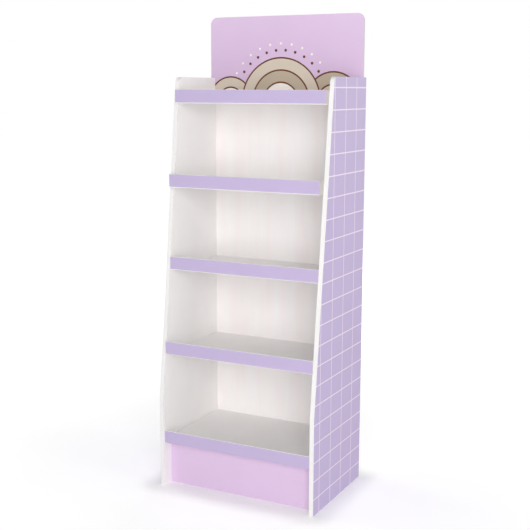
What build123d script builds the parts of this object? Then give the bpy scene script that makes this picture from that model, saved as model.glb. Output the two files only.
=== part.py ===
from build123d import *
import os

# Free-standing cardboard display stand: two tapering side boards, a back board, a header card,
# a recessed plinth and five shelf trays whose tabs sit in blind slots in the sides.
# Millimetres, +Z up, origin on the floor at the centre of the footprint, shoppers stand at -Y.

os.makedirs("parts", exist_ok=True)

# Outline of the stand
stand_width = 600.0
base_depth = 404.0
top_depth = 272.0
side_height = 1443.0
knee_height = 332.0
header_top = 1658.0

# Boards
rigid_board = 16.0
header_board = 5.0
tray_board = 3.0

# Rounded corners
side_corner_radius = 22.0
header_corner_radius = 27.0

# Places measured forward from the rear edges of the sides
back_face_depth = 22.0
plinth_face_depth = 358.0

# Shelf trays, top one first: height of the deck's top face, how far the lip stands out
# in front of the side edges, and how far the printed strip hangs below the deck's top
deck_tops = [1357.0, 1070.0, 781.5, 484.5, 175.0]
lip_stand_outs = [24.0, 35.0, 0.5, 3.5, -4.0]
strip_drops = [0.0, 0.0, 0.0, 0.0, 14.0]
strip_height = 43.5
lip_fold_gap = 0.6
fold_radius = 1.8
return_overlap = 12.0

# Tabs on the decks and the slots that hold them
tab_length = 50.0
tab_reach = 10.0
front_tab_setback = 70.0
rear_tab_setback = 45.0
slot_clearance = 0.25
slot_end_clearance = 0.5
side_clearance = 0.3

inner_width = stand_width - 2 * rigid_board
fitted_width = inner_width - 2 * side_clearance
lip_thickness = 2 * tray_board + lip_fold_gap


def from_rear(depth):
    """Y of a plane that lies depth in front of the rear edges of the sides."""
    return base_depth / 2 - depth


def side_depth(height):
    """Depth of a side board at a height: full up to the knee, then a straight taper to the top."""
    taper = max(0.0, height - knee_height) / (side_height - knee_height)
    return base_depth - taper * (base_depth - top_depth)


def lip_front(shelf):
    """Y of the front face of a tray's lip, set from the side edge at the strip's mid height."""
    strip_middle = deck_tops[shelf] - strip_drops[shelf] + strip_height / 2
    return from_rear(side_depth(strip_middle) + lip_stand_outs[shelf])


def tab_centres(shelf):
    """Y of the front and the rear tab of a tray."""
    front_tab = lip_front(shelf) + max(0.0, lip_stand_outs[shelf]) + front_tab_setback
    rear_tab = from_rear(back_face_depth + rear_tab_setback)
    return [front_tab, rear_tab]


def side_board(sign):
    """Tapering board at x = sign * half the width, with blind slots in its inner face."""
    inner_face = sign * inner_width / 2
    with BuildPart() as side:
        with BuildSketch(Plane.YZ.offset(inner_face)) as outline:
            with BuildLine():
                Polyline(
                    (from_rear(0), 0),
                    (from_rear(base_depth), 0),
                    (from_rear(base_depth), knee_height),
                    (from_rear(top_depth), side_height),
                    (from_rear(0), side_height),
                    close=True,
                )
            make_face()
            top_front = outline.vertices().group_by(Axis.Y)[-1].sort_by(Axis.X)[0]
            fillet(top_front, radius=side_corner_radius)
        extrude(amount=sign * rigid_board)
        slot_depth = tab_reach + slot_clearance
        for shelf, deck_top in enumerate(deck_tops):
            for tab_centre in tab_centres(shelf):
                with Locations((inner_face + sign * slot_depth / 2, tab_centre, deck_top - tray_board / 2)):
                    Box(
                        slot_depth,
                        tab_length + 2 * slot_end_clearance,
                        tray_board + 2 * slot_clearance,
                        mode=Mode.SUBTRACT,
                    )
    return side


def shelf_tray(shelf):
    """One folded sheet: a deck, a lip doubled back over itself, side tabs and, where the lip
    stands out in front of the sides, an upright return that closes each end."""
    deck_top = deck_tops[shelf]
    deck_bottom = deck_top - tray_board
    strip_bottom = deck_top - strip_drops[shelf]
    strip_top = strip_bottom + strip_height
    outer_face = lip_front(shelf)
    outer_wall_back = outer_face + tray_board
    inner_wall_front = outer_wall_back + lip_fold_gap
    inner_wall_back = outer_face + lip_thickness
    deck_rear = from_rear(back_face_depth)
    with BuildPart() as tray:
        with BuildSketch(Plane.YZ.offset(-fitted_width / 2)) as section:
            with BuildLine():
                Polyline(
                    (deck_rear, deck_top),
                    (deck_rear, deck_bottom),
                    (inner_wall_front, deck_bottom),
                    (inner_wall_front, strip_top - tray_board),
                    (outer_wall_back, strip_top - tray_board),
                    (outer_wall_back, strip_bottom),
                    (outer_face, strip_bottom),
                    (outer_face, strip_top),
                    (inner_wall_back, strip_top),
                    (inner_wall_back, deck_top),
                    close=True,
                )
            make_face()
            top_folds = section.vertices().group_by(Axis.Y)[-1]
            bottom_fold = section.vertices().sort_by_distance((inner_wall_front, deck_bottom))[:1]
            fillet(top_folds + bottom_fold, radius=fold_radius)
        extrude(amount=fitted_width)
        for tab_centre in tab_centres(shelf):
            with Locations((0, tab_centre, deck_top - tray_board / 2)):
                Box(inner_width + 2 * tab_reach, tab_length, tray_board)
        if lip_stand_outs[shelf] > lip_thickness:
            return_depth = lip_stand_outs[shelf] + return_overlap - outer_wall_back + outer_face
            return_centre = outer_wall_back + return_depth / 2
            return_height = strip_top - fold_radius - deck_bottom
            for sign in (-1, 1):
                end_centre = sign * (fitted_width - tray_board) / 2
                with Locations((end_centre, return_centre, deck_bottom + return_height / 2)):
                    Box(tray_board, return_depth, return_height)
    return tray


# Sides
side_panel_left = side_board(-1)
side_panel_left.part.label = "side_panel_left"

side_panel_right = side_board(1)
side_panel_right.part.label = "side_panel_right"

# Back board, glued between the sides
with BuildPart() as back_panel:
    with BuildSketch(Plane.XZ.offset(-from_rear(back_face_depth))):
        with Locations((0, side_height / 2)):
            Rectangle(inner_width, side_height)
    extrude(amount=-rigid_board)
back_panel.part.label = "back_panel"

# Plinth, upright between the sides under the bottom tray
plinth_height = deck_tops[-1] - tray_board
with BuildPart() as plinth_panel:
    with BuildSketch(Plane.XZ.offset(-from_rear(plinth_face_depth))):
        with Locations((0, plinth_height / 2)):
            Rectangle(inner_width, plinth_height)
    extrude(amount=-rigid_board)
plinth_panel.part.label = "plinth_panel"

# Header card: a narrow foot stands on the top deck against the back board, and the
# shoulders of the full-width head rest on the tops of the sides
header_foot = deck_tops[0]
with BuildPart() as header_card:
    with BuildSketch(Plane.XZ.offset(-from_rear(back_face_depth))) as card:
        with Locations((0, (header_foot + side_height) / 2)):
            Rectangle(fitted_width, side_height - header_foot)
        with Locations((0, (side_height + header_top) / 2)):
            Rectangle(stand_width, header_top - side_height)
        fillet(card.vertices().group_by(Axis.Y)[-1], radius=header_corner_radius)
    extrude(amount=header_board)
header_card.part.label = "header_card"

# Trays
trays = []
for shelf in range(len(deck_tops)):
    tray_piece = shelf_tray(shelf)
    tray_piece.part.label = f"shelf_tray_{shelf + 1}"
    trays.append(tray_piece)

pieces = [side_panel_left, side_panel_right, back_panel, plinth_panel, header_card] + trays
for piece in pieces:
    export_step(piece.part, f"parts/{piece.part.label}.step")
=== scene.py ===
import math

import bpy
from mathutils import Matrix, Vector


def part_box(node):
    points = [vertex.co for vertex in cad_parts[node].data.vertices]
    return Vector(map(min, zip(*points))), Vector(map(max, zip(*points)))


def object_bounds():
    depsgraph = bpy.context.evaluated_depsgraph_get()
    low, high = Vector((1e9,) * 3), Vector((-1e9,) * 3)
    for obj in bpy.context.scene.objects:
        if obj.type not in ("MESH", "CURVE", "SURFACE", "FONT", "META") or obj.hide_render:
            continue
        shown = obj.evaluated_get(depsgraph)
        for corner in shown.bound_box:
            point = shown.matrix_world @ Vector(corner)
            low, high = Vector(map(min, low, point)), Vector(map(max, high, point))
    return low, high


# Looks of a free-standing cardboard display stand: printed rigid board sides with a pale grid,
# white boards inside, folded trays with a lilac printed lip, and a printed header card.

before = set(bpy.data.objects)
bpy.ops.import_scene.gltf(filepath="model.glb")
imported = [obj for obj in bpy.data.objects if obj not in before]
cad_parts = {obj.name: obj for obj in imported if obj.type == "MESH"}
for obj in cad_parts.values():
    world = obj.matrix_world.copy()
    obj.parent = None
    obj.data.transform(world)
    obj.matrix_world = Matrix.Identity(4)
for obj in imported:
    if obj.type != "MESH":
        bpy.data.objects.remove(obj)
cad_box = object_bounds()

MM = 0.001

# Printing inks and papers, sRGB
LILAC_INK = "#C1B3D5"
GRID_INK = "#EBDDED"
PINK_INK = "#DEC5E3"
PINK_INK_LOW = "#D5BBDA"
TAUPE_INK = "#BEAF9B"
PALE_TAUPE_INK = "#D6CABA"
BROWN_INK = "#6A3A20"
CREAM_INK = "#F7F0EA"
WHITE_LINER = "#F9F7F6"
ROSY_LINER = "#F9F2F2"
# Painted shade: the tray decks are a little greyer than the rest of the white paper
DECK_PAINTED_SHADE = "#F3F1F0"
WHITE_EDGE = "#EEEDEC"
SEAM_GREY = "#E2DFDB"
GREY_LINER = "#C4BEBC"


def linear(code):
    """Turns an sRGB hex colour into linear RGBA, by the sRGB curve: a short straight foot, then a 2.4 power."""
    parts = [int(code[i : i + 2], 16) / 255 for i in (1, 3, 5)]
    return [c / 12.92 if c <= 0.04045 else ((c + 0.055) / 1.055) ** 2.4 for c in parts] + [1.0]


def node(tree, kind, inputs=None, **settings):
    """Adds a node, sets its properties, and gives each input a value or the output plugged into it."""
    made = tree.nodes.new(kind)
    for key, value in settings.items():
        setattr(made, key, value)
    for key, value in (inputs or {}).items():
        if isinstance(value, bpy.types.NodeSocket):
            tree.links.new(value, made.inputs[key])
        else:
            made.inputs[key].default_value = value
    return made


def new_material(name):
    """An empty material, its tree, and the object coordinates split into X, Y and Z in metres."""
    material = bpy.data.materials.new(name)
    material.use_nodes = True
    tree = material.node_tree
    tree.nodes.clear()
    place = node(tree, "ShaderNodeTexCoord").outputs["Object"]
    axes = node(tree, "ShaderNodeSeparateXYZ", {0: place})
    return material, tree, place, axes


def over(tree, mask, colour, beneath):
    """Lays a colour over another wherever the mask is 1. Each colour is a socket or a hex code."""
    layers = {6: beneath, 7: colour}
    inputs = {key: linear(c) if isinstance(c, str) else c for key, c in layers.items()}
    inputs[0] = mask
    return node(tree, "ShaderNodeMix", inputs, data_type="RGBA").outputs[2]


def board_surface(tree, place, colour, roughness, cell, relief):
    """Finishes a board: faint mottling of the paper, and the core's cells showing through as relief."""
    mottle = node(tree, "ShaderNodeTexNoise", {"Vector": place, "Scale": 9.0, "Detail": 3.0})
    tone = node(
        tree, "ShaderNodeMapRange", {0: mottle.outputs[0], 1: 0.3, 2: 0.7, 3: 0.985, 4: 1.01}
    ).outputs[0]
    ink = linear(colour)[:3] if isinstance(colour, str) else colour
    toned = node(tree, "ShaderNodeVectorMath", {0: ink, "Scale": tone}, operation="SCALE")
    cells = node(
        tree, "ShaderNodeTexVoronoi", {"Vector": place, "Scale": 1 / cell}, feature="DISTANCE_TO_EDGE"
    )
    wall = node(tree, "ShaderNodeMapRange", {0: cells.outputs[0], 1: 0.0, 2: 0.18, 3: 1.0, 4: 0.0})
    bump = node(
        tree, "ShaderNodeBump", {"Strength": 0.25, "Distance": relief, "Height": wall.outputs[0]}
    )
    shader = node(
        tree,
        "ShaderNodeBsdfPrincipled",
        {
            "Base Color": toned.outputs[0],
            "Roughness": roughness,
            "IOR": 1.45,
            "Specular IOR Level": 0.3,
            "Normal": bump.outputs[0],
        },
    )
    node(tree, "ShaderNodeOutputMaterial", {0: shader.outputs[0]})


# Core cells: paper honeycomb about 12 mm across, and corrugated flutes about 7 mm apart
HONEYCOMB_CELL = 12 * MM
FLUTE_PITCH = 7 * MM
PRINT_THROUGH = 0.15 * MM
PRINT_ROUGHNESS = 0.5
LINER_ROUGHNESS = 0.75
# Streaks in the white paper
STREAK_LEAN = math.radians(25)
STREAK_WIDTH = 45 * MM
STREAK_LENGTH = 500 * MM
# The tape over a cut edge stops this far short of each face
TAPE_MARGIN = 0.7 * MM

# The printed grid: level lines whose spacing grows gently upwards, and evenly spaced upright lines
LINE_HALF_WIDTH = 1.9 * MM
FIRST_LEVEL_LINE = 56.7 * MM
LEVEL_SPACING = 63.4 * MM
LEVEL_GROWTH = 0.209 * MM
FIRST_UPRIGHT_LINE = 84.5 * MM
UPRIGHT_SPACING = 91.2 * MM


def printed_side_board():
    """Offset-printed honeycomb display board: satin lilac ink with a fine pale grid on the outer
    face, white paper on the inner face and brighter white tape on the cut edges."""
    material, tree, place, axes = new_material("printed honeycomb board")
    low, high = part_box("side_panel_right")
    across = node(tree, "ShaderNodeMath", {0: axes.outputs[0]}, operation="ABSOLUTE").outputs[0]
    outside = node(
        tree, "ShaderNodeMath", {0: across, 1: high.x - 0.1 * MM}, operation="GREATER_THAN"
    ).outputs[0]
    inside = node(
        tree, "ShaderNodeMath", {0: across, 1: low.x + 0.1 * MM}, operation="LESS_THAN"
    ).outputs[0]

    # Height of line k is first + spacing k + growth k squared, solved for k at each height
    rise = node(
        tree,
        "ShaderNodeMath",
        {0: axes.outputs[2], 1: 4 * LEVEL_GROWTH, 2: LEVEL_SPACING**2 - 4 * LEVEL_GROWTH * FIRST_LEVEL_LINE},
        operation="MULTIPLY_ADD",
    )
    root = node(tree, "ShaderNodeMath", {0: rise.outputs[0]}, operation="SQRT")
    level = node(
        tree,
        "ShaderNodeMath",
        {0: root.outputs[0], 1: 1 / (2 * LEVEL_GROWTH), 2: -LEVEL_SPACING / (2 * LEVEL_GROWTH)},
        operation="MULTIPLY_ADD",
    )
    upright = node(
        tree,
        "ShaderNodeMath",
        {0: axes.outputs[1], 1: -1 / UPRIGHT_SPACING, 2: (high.y - FIRST_UPRIGHT_LINE) / UPRIGHT_SPACING},
        operation="MULTIPLY_ADD",
    )
    lines = []
    for count, spacing in ((level, LEVEL_SPACING), (upright, UPRIGHT_SPACING)):
        whole = node(tree, "ShaderNodeMath", {0: count.outputs[0]}, operation="ROUND")
        miss = node(
            tree, "ShaderNodeMath", {0: count.outputs[0], 1: whole.outputs[0]}, operation="SUBTRACT"
        )
        off = node(tree, "ShaderNodeMath", {0: miss.outputs[0]}, operation="ABSOLUTE")
        lines.append(
            node(
                tree,
                "ShaderNodeMath",
                {0: off.outputs[0], 1: LINE_HALF_WIDTH / spacing},
                operation="LESS_THAN",
            ).outputs[0]
        )
    grid = node(tree, "ShaderNodeMath", {0: lines[0], 1: lines[1]}, operation="MAXIMUM").outputs[0]

    print_colour = over(tree, grid, GRID_INK, LILAC_INK)
    middle = (low.x + high.x) / 2
    from_middle = node(
        tree, "ShaderNodeMath", {0: across, 1: middle, 2: (high.x - low.x) / 2 - TAPE_MARGIN}, operation="COMPARE"
    ).outputs[0]
    colour = over(tree, from_middle, WHITE_EDGE, SEAM_GREY)
    colour = over(tree, inside, WHITE_LINER, colour)
    colour = over(tree, outside, print_colour, colour)
    board_surface(tree, place, colour, PRINT_ROUGHNESS, HONEYCOMB_CELL, PRINT_THROUGH)
    return material


def white_board():
    """Unprinted honeycomb board: matt bleached paper, with faint rosy streaks that lean as the
    paper's fibres do."""
    material, tree, place, axes = new_material("white lined honeycomb board")
    lean = node(
        tree,
        "ShaderNodeMapping",
        {"Vector": place, "Rotation": (0.0, STREAK_LEAN, 0.0), "Scale": (1 / STREAK_WIDTH, 1.0, 1 / STREAK_LENGTH)},
    )
    streaks = node(
        tree, "ShaderNodeTexNoise", {"Vector": lean.outputs[0], "Scale": 1.0, "Detail": 3.0}
    )
    mask = node(tree, "ShaderNodeMapRange", {0: streaks.outputs[0], 1: 0.35, 2: 0.65, 3: 0.0, 4: 1.0})
    colour = over(tree, mask.outputs[0], ROSY_LINER, WHITE_LINER)
    board_surface(tree, place, colour, LINER_ROUGHNESS, HONEYCOMB_CELL, PRINT_THROUGH)
    return material


def printed_plinth_board():
    """Honeycomb board with pink-lilac print on its front face only; the rest is bare white paper."""
    material, tree, place, axes = new_material("printed plinth board")
    low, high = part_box("plinth_panel")
    front = node(
        tree, "ShaderNodeMath", {0: axes.outputs[1], 1: low.y + 0.1 * MM}, operation="LESS_THAN"
    ).outputs[0]
    colour = over(tree, front, PINK_INK, WHITE_LINER)
    board_surface(tree, place, colour, PRINT_ROUGHNESS, HONEYCOMB_CELL, PRINT_THROUGH)
    return material


def tray_board(name):
    """Folded corrugated board: matt white paper, lilac ink on the lip's front face, a pale cracked
    line along the fold, a painted shade that greys the deck a little, and bare greyish board on the cut ends."""
    material, tree, place, axes = new_material("folded corrugated board " + name[-1])
    low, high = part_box(name)
    inner_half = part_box("side_panel_right")[0].x
    front = node(
        tree, "ShaderNodeMath", {0: axes.outputs[1], 1: low.y + 0.3 * MM}, operation="LESS_THAN"
    ).outputs[0]
    across = node(tree, "ShaderNodeMath", {0: axes.outputs[0]}, operation="ABSOLUTE").outputs[0]
    ends = node(
        tree, "ShaderNodeMath", {0: across, 1: inner_half - 0.4 * MM}, operation="GREATER_THAN"
    ).outputs[0]
    # Painted shade: more than 7 mm behind the lip's front face the board is a little greyer
    deck = node(
        tree, "ShaderNodeMath", {0: axes.outputs[1], 1: low.y + 7 * MM}, operation="GREATER_THAN"
    ).outputs[0]
    colour = over(tree, deck, DECK_PAINTED_SHADE, WHITE_LINER)
    colour = over(tree, ends, GREY_LINER, colour)
    colour = over(tree, front, LILAC_INK, colour)
    board_surface(tree, place, colour, PRINT_ROUGHNESS, FLUTE_PITCH, PRINT_THROUGH)
    return material


# The header's printed sunrises, half discs that rise from the card's foot: place across, radius,
# and the inks of each from the middle out, each ink up to a share of the radius
OUTLINE = 5.5 * MM
SUNRISES = (
    (188 * MM, 108 * MM, ((PALE_TAUPE_INK, 0.6), (TAUPE_INK, 1.0))),
    (-218 * MM, 92 * MM, ((CREAM_INK, 0.6), (PALE_TAUPE_INK, 1.0))),
    (-15 * MM, 158 * MM, ((CREAM_INK, 0.46), (TAUPE_INK, 0.73), (PALE_TAUPE_INK, 1.0))),
)
# Rays of dots round the largest one: distance out, dot radius, ink, and the turn in steps
RAY_STEP = math.radians(12)
RAYS = ((182 * MM, 5.0 * MM, BROWN_INK, 0.0), (205 * MM, 4.2 * MM, CREAM_INK, 0.5))


def printed_header_card():
    """Printed card: satin pink-lilac ink that deepens downwards, with sunrises in bands of taupe
    and cream outlined in brown, and rays of small dots; white paper behind, grey cut edges."""
    material, tree, place, axes = new_material("printed header card")
    low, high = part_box("header_card")
    lip_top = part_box("shelf_tray_1")[1].z
    fade = node(
        tree, "ShaderNodeMapRange", {0: axes.outputs[2], 1: lip_top, 2: high.z, 3: 0.0, 4: 1.0}
    ).outputs[0]
    colour = over(tree, fade, PINK_INK, PINK_INK_LOW)

    x_big = SUNRISES[-1][0]
    out_x = node(tree, "ShaderNodeMath", {0: axes.outputs[0], 1: -x_big}, operation="ADD")
    out_z = node(tree, "ShaderNodeMath", {0: axes.outputs[2], 1: -low.z}, operation="ADD")
    angle = node(
        tree, "ShaderNodeMath", {0: out_z.outputs[0], 1: out_x.outputs[0]}, operation="ARCTAN2"
    )
    reach = node(
        tree, "ShaderNodeVectorMath", {0: place, 1: (x_big, low.y, low.z)}, operation="DISTANCE"
    )
    for distance, radius, ink, turn in RAYS:
        # Dots repeat round the ring: the miss along it is distance times the angle off the nearest ray
        step = node(
            tree, "ShaderNodeMath", {0: angle.outputs[0], 1: 1 / RAY_STEP, 2: turn}, operation="MULTIPLY_ADD"
        )
        whole = node(tree, "ShaderNodeMath", {0: step.outputs[0]}, operation="ROUND")
        miss = node(
            tree, "ShaderNodeMath", {0: step.outputs[0], 1: whole.outputs[0]}, operation="SUBTRACT"
        )
        along = node(
            tree, "ShaderNodeMath", {0: miss.outputs[0], 1: RAY_STEP * distance}, operation="MULTIPLY"
        )
        away = node(
            tree, "ShaderNodeMath", {0: reach.outputs["Value"], 1: distance}, operation="SUBTRACT"
        )
        offset = node(
            tree, "ShaderNodeCombineXYZ", {0: along.outputs[0], 1: away.outputs[0], 2: 0.0}
        )
        size = node(tree, "ShaderNodeVectorMath", {0: offset.outputs[0]}, operation="LENGTH")
        dot = node(
            tree, "ShaderNodeMath", {0: size.outputs["Value"], 1: radius}, operation="LESS_THAN"
        )
        colour = over(tree, dot.outputs[0], ink, colour)

    for x, radius, inks in SUNRISES:
        span = node(
            tree, "ShaderNodeVectorMath", {0: place, 1: (x, low.y, low.z)}, operation="DISTANCE"
        ).outputs["Value"]
        for ink, share in reversed(inks):
            rim = node(
                tree, "ShaderNodeMath", {0: span, 1: radius * share}, operation="LESS_THAN"
            ).outputs[0]
            fill = node(
                tree, "ShaderNodeMath", {0: span, 1: radius * share - OUTLINE}, operation="LESS_THAN"
            ).outputs[0]
            colour = over(tree, rim, BROWN_INK, colour)
            colour = over(tree, fill, ink, colour)

    front = node(
        tree, "ShaderNodeMath", {0: axes.outputs[1], 1: low.y + 0.1 * MM}, operation="LESS_THAN"
    ).outputs[0]
    rear = node(
        tree, "ShaderNodeMath", {0: axes.outputs[1], 1: high.y - 0.1 * MM}, operation="GREATER_THAN"
    ).outputs[0]
    beneath = over(tree, rear, WHITE_LINER, GREY_LINER)
    colour = over(tree, front, colour, beneath)
    board_surface(tree, place, colour, PRINT_ROUGHNESS, FLUTE_PITCH, PRINT_THROUGH)
    return material


def dress(name, material):
    """Gives a construction piece its finish."""
    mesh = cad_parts[name].data
    mesh.materials.clear()
    mesh.materials.append(material)


side_finish = printed_side_board()
dress("side_panel_left", side_finish)
dress("side_panel_right", side_finish)
dress("back_panel", white_board())
dress("plinth_panel", printed_plinth_board())
dress("header_card", printed_header_card())
for name in sorted(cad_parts):
    if name.startswith("shelf_tray"):
        dress(name, tray_board(name))

# Floor: a wide pale sheet that looks white and keeps the stand's soft shadow, with a painted shadow added at the
# stand's foot
FLOOR_HALF = 20.0
# Glow seen by the camera alone, by distance from the stand's footprint: none against the boards, so part of the
# contact shadow there is painted shadow, more just clear of it, and most where the lamps no longer reach
GLOW_AND_PAINTED_SHADOW_STEPS = ((0.0, 0.1, 0.22), (0.2, 3.0, 0.4))


def floor_paper():
    """Seamless studio paper: matt white to the eye, a little greyer in what it throws back, and a painted shadow
    where its glow fades out near the stand's foot.
    """
    material, tree, place, axes = new_material("studio paper")
    seen = node(tree, "ShaderNodeLightPath").outputs["Is Camera Ray"]
    colour = over(tree, seen, "#FFFFFF", "#F4F3F4")
    paper = node(tree, "ShaderNodeBsdfDiffuse", {"Color": colour})
    corner = (cad_box[1].x, cad_box[1].y, 0.0)
    outward = node(tree, "ShaderNodeVectorMath", {0: place}, operation="ABSOLUTE")
    beyond = node(
        tree, "ShaderNodeVectorMath", {0: outward.outputs[0], 1: corner}, operation="SUBTRACT"
    )
    clear = node(
        tree, "ShaderNodeVectorMath", {0: beyond.outputs[0], 1: (0.0, 0.0, 0.0)}, operation="MAXIMUM"
    )
    reach = node(tree, "ShaderNodeVectorMath", {0: clear.outputs[0]}, operation="LENGTH")
    # Painted shadow: within 0.1 m of the footprint the glow fades to nothing, which darkens the floor at the
    # stand's foot
    steps = [
        node(
            tree,
            "ShaderNodeMapRange",
            {0: reach.outputs["Value"], 1: start, 2: end, 3: 0.0, 4: amount},
            interpolation_type="SMOOTHSTEP",
        ).outputs[0]
        for start, end, amount in GLOW_AND_PAINTED_SHADOW_STEPS
    ]
    total = node(tree, "ShaderNodeMath", {0: steps[0], 1: steps[1]}, operation="ADD")
    lift = node(tree, "ShaderNodeMath", {0: seen, 1: total.outputs[0]}, operation="MULTIPLY")
    glow = node(tree, "ShaderNodeEmission", {"Color": linear("#FFFFFF"), "Strength": lift.outputs[0]})
    shader = node(tree, "ShaderNodeAddShader", {0: paper.outputs[0], 1: glow.outputs[0]})
    node(tree, "ShaderNodeOutputMaterial", {0: shader.outputs[0]})
    return material


floor_mesh = bpy.data.meshes.new("studio_floor")
corners = [(-1, -1), (1, -1), (1, 1), (-1, 1)]
floor_mesh.from_pydata([(FLOOR_HALF * x, FLOOR_HALF * y, 0.0) for x, y in corners], [], [(0, 1, 2, 3)])
floor_mesh.materials.append(floor_paper())
floor = bpy.data.objects.new("studio_floor", floor_mesh)
bpy.context.scene.collection.objects.link(floor)

# Light: an even white sky, white to the camera as well, and a large soft lamp on each side
SKY_STRENGTH = 0.4
world = bpy.data.worlds.new("studio")
world.use_nodes = True
bpy.context.scene.world = world
sky = world.node_tree
sky.nodes.clear()
rays = node(sky, "ShaderNodeLightPath")
plain = node(
    sky,
    "ShaderNodeMath",
    {0: rays.outputs["Is Camera Ray"], 1: rays.outputs["Is Glossy Ray"]},
    operation="MAXIMUM",
)
strength = node(
    sky, "ShaderNodeMapRange", {0: plain.outputs[0], 1: 0.0, 2: 1.0, 3: SKY_STRENGTH, 4: 1.0}
)
backdrop = node(
    sky, "ShaderNodeBackground", {"Color": (1, 1, 1, 1), "Strength": strength.outputs[0]}
)
node(sky, "ShaderNodeOutputWorld", {0: backdrop.outputs[0]})

# Each lamp: its place in metres and its power in watts
LAMPS = {
    "front_lamp": ((2.3, -4.6, 1.8), 165.0),
    "right_lamp": ((5.0, 0.0, 1.9), 58.0),
    "left_lamp": ((-5.0, 0.0, 1.9), 80.0),
    "rear_lamp": ((0.0, 5.0, 1.9), 60.0),
}
LAMP_AIM = Vector((0.0, 0.0, 0.8))
LAMP_SIZE = 3.2
for name, (place, power) in LAMPS.items():
    lamp = bpy.data.lights.new(name, "AREA")
    lamp.shape = "SQUARE"
    lamp.size = LAMP_SIZE
    lamp.energy = power
    lamp_object = bpy.data.objects.new(name, lamp)
    bpy.context.scene.collection.objects.link(lamp_object)
    lamp_object.location = place
    lamp_object.rotation_euler = (LAMP_AIM - Vector(place)).to_track_quat("-Z", "Y").to_euler()

# Camera: at eye height, a little under the side tops, standing off to the stand's right
CAMERA_PLACE = (1.597, -3.080, 1.401)
CAMERA_YAW = math.radians(27.202)
CAMERA_DOWN = math.radians(9.901)
CAMERA_ROLL = math.radians(0.139)
CAMERA_LENS = 68.257
camera_data = bpy.data.cameras.new("camera")
camera_data.sensor_width = 36.0
camera_data.lens = CAMERA_LENS
camera_data.clip_end = 100.0
camera = bpy.data.objects.new("camera", camera_data)
bpy.context.scene.collection.objects.link(camera)
camera.matrix_world = (
    Matrix.Translation(CAMERA_PLACE)
    @ Matrix.Rotation(CAMERA_YAW, 4, "Z")
    @ Matrix.Rotation(math.pi / 2 - CAMERA_DOWN, 4, "X")
    @ Matrix.Rotation(CAMERA_ROLL, 4, "Z")
)
bpy.context.scene.camera = camera
bpy.context.scene.view_settings.view_transform = "Standard"
